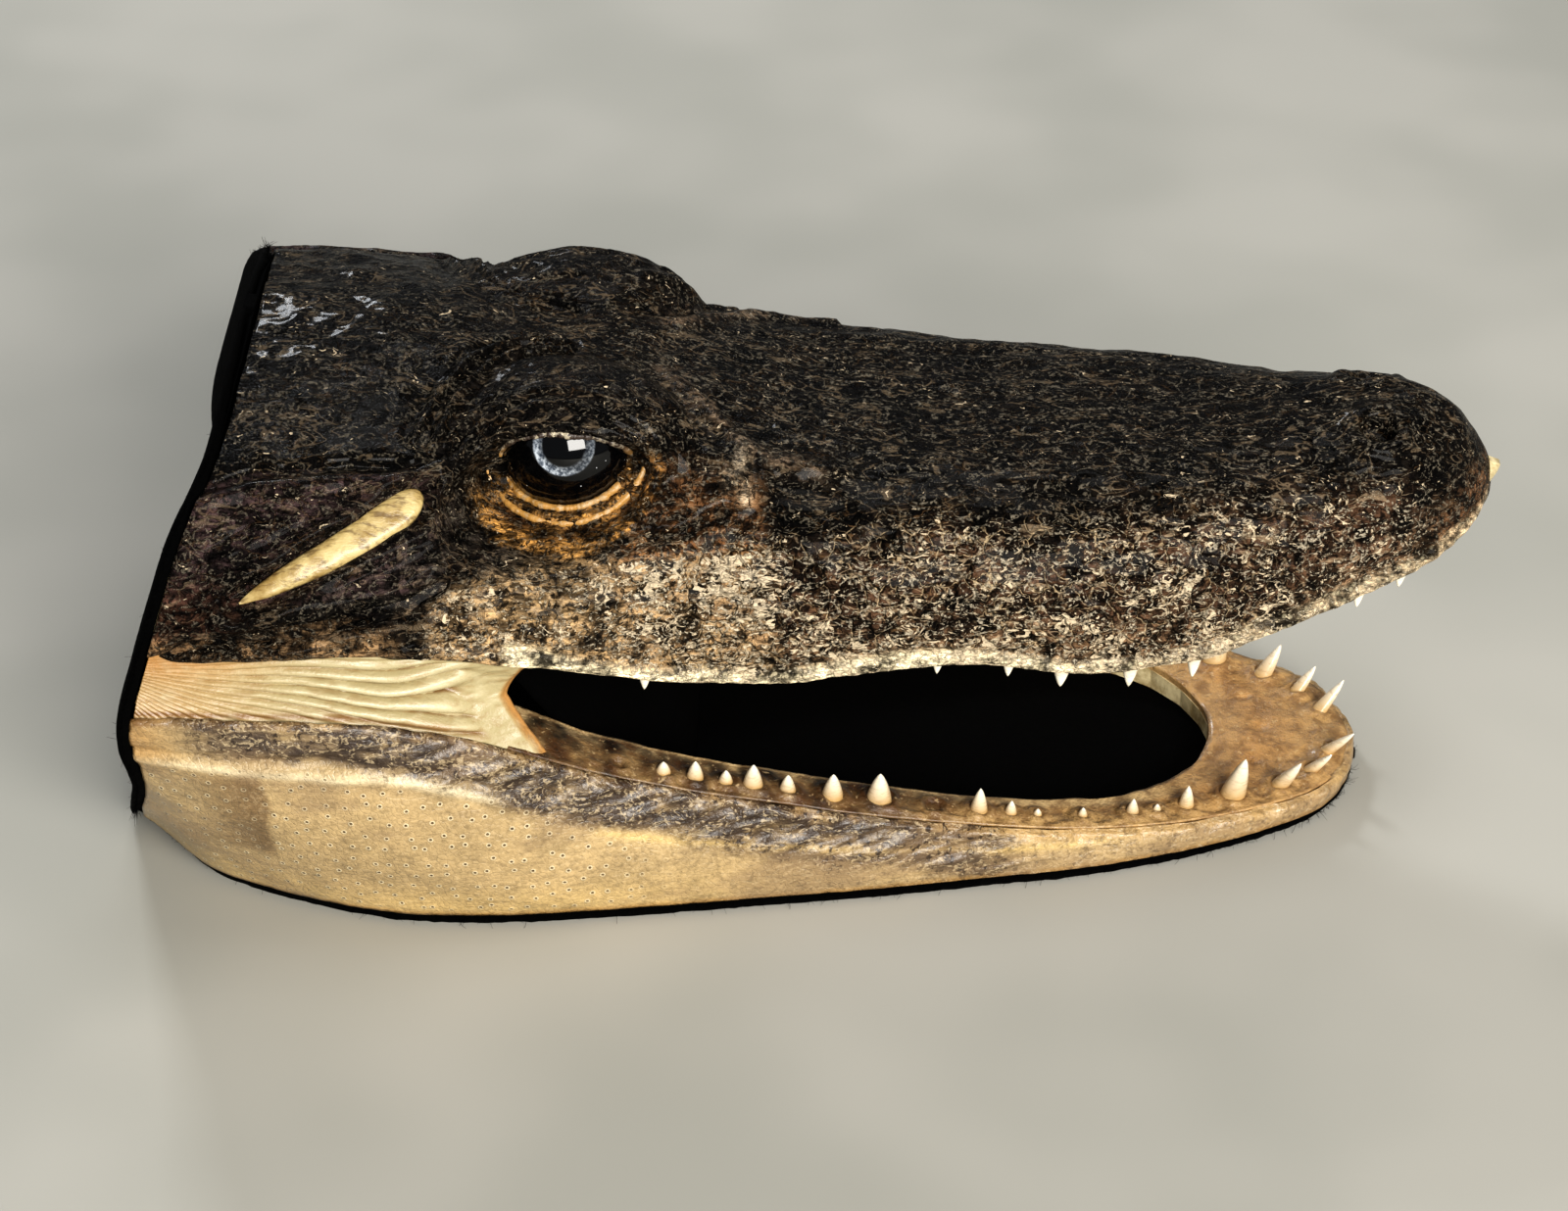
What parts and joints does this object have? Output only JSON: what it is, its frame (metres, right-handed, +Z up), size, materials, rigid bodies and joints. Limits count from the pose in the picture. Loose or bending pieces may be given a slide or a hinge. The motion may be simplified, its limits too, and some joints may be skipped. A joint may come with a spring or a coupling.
{
  "type": "preserved alligator head",
  "caption": "Dried and lacquered alligator head with an open toothed mouth and glass eyes, felt over the neck cut and under the jaw, standing on its own.",
  "frame": {"origin": "centre of the bounding box in X and Y, on the surface that the head stands on", "axes": "+X out of the snout tip, +Y to the head's own left side, +Z up"},
  "size_m": [0.162, 0.0768, 0.064],
  "materials": {
    "dark_hide": "satin",
    "pale_hide": "satin",
    "cheek_skin": "satin",
    "gum": "satin",
    "palate": "matte",
    "bone": "satin",
    "tooth": "gloss",
    "eye_glass": "polished",
    "eye_clay": "matte",
    "neck_filler": "matte",
    "felt": "matte"
  },
  "bodies": {
    "root": {"head_hide": "dark_hide", "skull": "bone", "palate_lining": "palate", "jaw_hide": "pale_hide", "lower_gum": "gum", "neck_plug": "neck_filler", "neck_felt": "felt", "base_felt": "felt", "throat_felt": "felt", "left_mandible": "bone", "left_cheek_skin": "cheek_skin", "left_glass_eye": "eye_glass", "left_eye_clay": "eye_clay", "left_bone_strip": "bone", "right_mandible": "bone", "right_cheek_skin": "cheek_skin", "right_glass_eye": "eye_glass", "right_eye_clay": "eye_clay", "right_bone_strip": "bone", "left_lower_tooth_1": "tooth", "left_lower_tooth_2": "tooth", "left_lower_tooth_3": "tooth", "left_lower_tooth_4": "tooth", "left_lower_tooth_5": "tooth", "left_lower_tooth_6": "tooth", "left_lower_tooth_7": "tooth", "left_lower_tooth_8": "tooth", "left_lower_tooth_9": "tooth", "left_lower_tooth_10": "tooth", "left_lower_tooth_11": "tooth", "left_lower_tooth_12": "tooth", "right_lower_tooth_1": "tooth", "right_lower_tooth_2": "tooth", "right_lower_tooth_3": "tooth", "right_lower_tooth_4": "tooth", "right_lower_tooth_5": "tooth", "right_lower_tooth_6": "tooth", "right_lower_tooth_7": "tooth", "right_lower_tooth_8": "tooth", "right_lower_tooth_9": "tooth", "right_lower_tooth_10": "tooth", "right_lower_tooth_11": "tooth", "right_lower_tooth_12": "tooth", "left_upper_tooth_1": "tooth", "left_upper_tooth_2": "tooth", "left_upper_tooth_3": "tooth", "left_upper_tooth_4": "tooth", "left_upper_tooth_5": "tooth", "left_upper_tooth_6": "tooth", "left_upper_tooth_7": "tooth", "left_upper_tooth_8": "tooth", "right_upper_tooth_1": "tooth", "right_upper_tooth_2": "tooth", "right_upper_tooth_3": "tooth", "right_upper_tooth_4": "tooth", "right_upper_tooth_5": "tooth", "right_upper_tooth_6": "tooth", "right_upper_tooth_7": "tooth", "right_upper_tooth_8": "tooth"}
  },
  "joints": []
}
